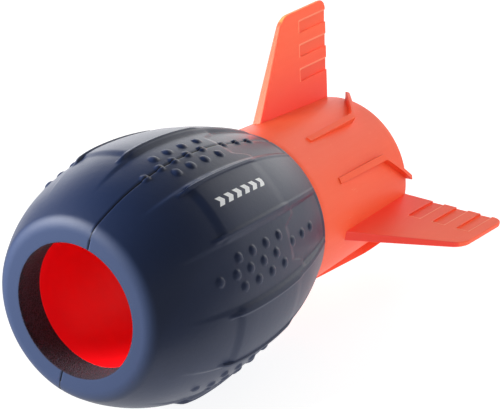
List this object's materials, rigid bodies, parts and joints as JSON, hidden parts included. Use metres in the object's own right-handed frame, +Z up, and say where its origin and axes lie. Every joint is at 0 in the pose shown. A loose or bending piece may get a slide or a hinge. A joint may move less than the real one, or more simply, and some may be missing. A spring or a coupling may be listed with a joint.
{
  "type": "finned foam throwing football with hollow core",
  "caption": "Hollow-core foam throwing football with a flat open nose, grip panels and a flexible finned tail cone carrying kinked strakes.",
  "frame": {"origin": "centre of the bounding box's bottom face, on the surface that the object lies on", "axes": "+Z up, the nose towards -Y and the tail towards +Y, with the top fin in the YZ plane; the flight axis drops 6.35 degrees towards the tail"},
  "size_m": [0.1312, 0.2209, 0.1161],
  "materials": {
    "foam": "satin moulded foam skin",
    "sleeve": "smooth thin moulding",
    "tail": "satin flexible moulding",
    "fins": "satin flexible moulding"
  },
  "bodies": {
    "root": {"foam_half_right": "foam", "foam_half_left": "foam", "core_sleeve": "sleeve", "tail_cone": "tail", "fin_top": "fins", "fin_right": "fins", "fin_left": "fins", "strake_right_upper": "tail", "strake_right_lower": "tail", "strake_bottom_right": "tail", "strake_bottom_left": "tail", "strake_left_lower": "tail", "strake_left_upper": "tail"}
  },
  "joints": []
}
